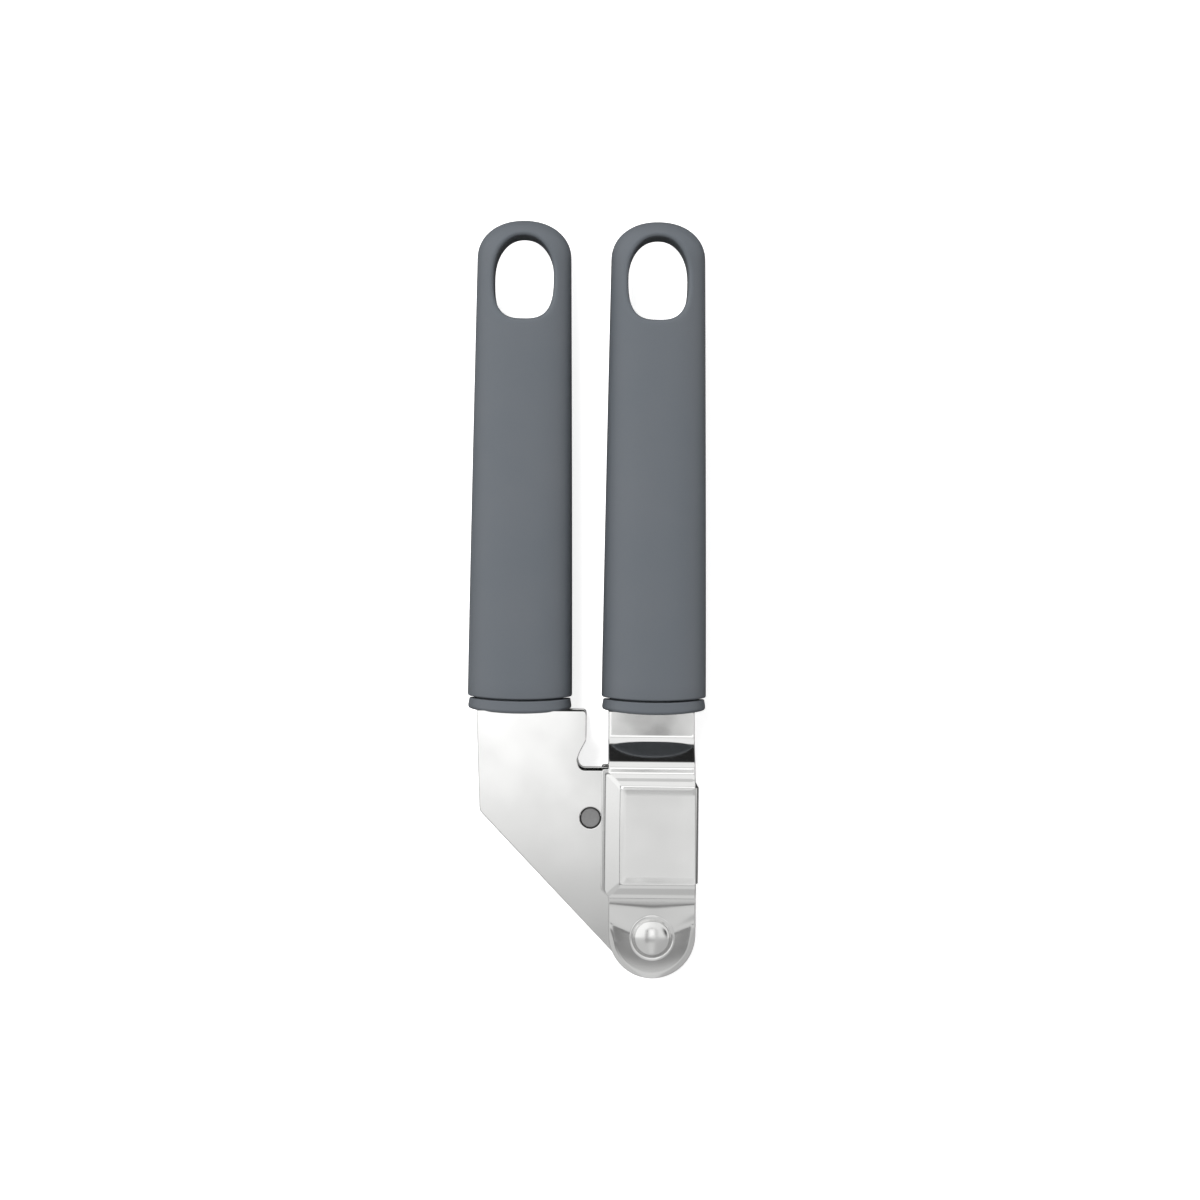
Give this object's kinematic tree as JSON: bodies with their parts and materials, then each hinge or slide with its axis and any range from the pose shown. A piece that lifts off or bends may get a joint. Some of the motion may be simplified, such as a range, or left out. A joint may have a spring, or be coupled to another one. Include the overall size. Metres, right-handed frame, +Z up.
{
  "type": "garlic press",
  "caption": "Hand-held garlic press of two pressed-steel arms on a domed rivet, with moulded grips, a pierced strainer and a hinged plunger.",
  "frame": {"origin": "middle of the closed press's footprint on the table it lies on", "axes": "+Z up along the pivot rivet, +Y along the handles towards their hanging holes, +X from the plunger arm to the chamber arm"},
  "size_m": [0.0554, 0.1747, 0.0218],
  "materials": {
    "polished_steel": "mirror polished stainless sheet",
    "dull_steel": "plain turned steel",
    "grip_plastic": "fine matt moulded slate grey",
    "core_nylon": "natural moulded nylon"
  },
  "bodies": {
    "chamber_arm": {"chamber_cheek_near": "polished_steel", "chamber_cheek_far": "polished_steel", "strainer": "polished_steel", "pivot_rivet": "polished_steel", "right_grip": "grip_plastic", "right_collar": "grip_plastic", "right_tang_core": "core_nylon", "right_tang_rivet_1": "dull_steel", "right_tang_rivet_2": "dull_steel"},
    "plunger_arm": {"plunger_cheek_near": "polished_steel", "plunger_cheek_far": "polished_steel", "pivot_bush": "dull_steel", "hinge_pin": "dull_steel", "left_grip": "grip_plastic", "left_collar": "grip_plastic", "left_tang_core": "core_nylon", "left_tang_rivet_1": "dull_steel", "left_tang_rivet_2": "dull_steel"},
    "plunger": {"plunger_plate": "polished_steel", "plunger_bracket": "polished_steel", "plunger_sleeve": "dull_steel"}
  },
  "joints": [
    {"name": "arm_open", "type": "hinge", "parent": "chamber_arm", "child": "plunger_arm", "pos_m": [0.01555, -0.07785, 0.0109], "axis": [0, 0, 1], "range_deg": [0, 100]},
    {"name": "plunger_tilt", "type": "hinge", "parent": "plunger_arm", "child": "plunger", "pos_m": [0.00115, -0.05065, 0.0109], "axis": [0, 0, 1], "range_deg": [0, 4]}
  ],
  "couplings": [
    {"joint": "plunger_tilt", "follows": "arm_open", "ratio": 0.04}
  ]
}
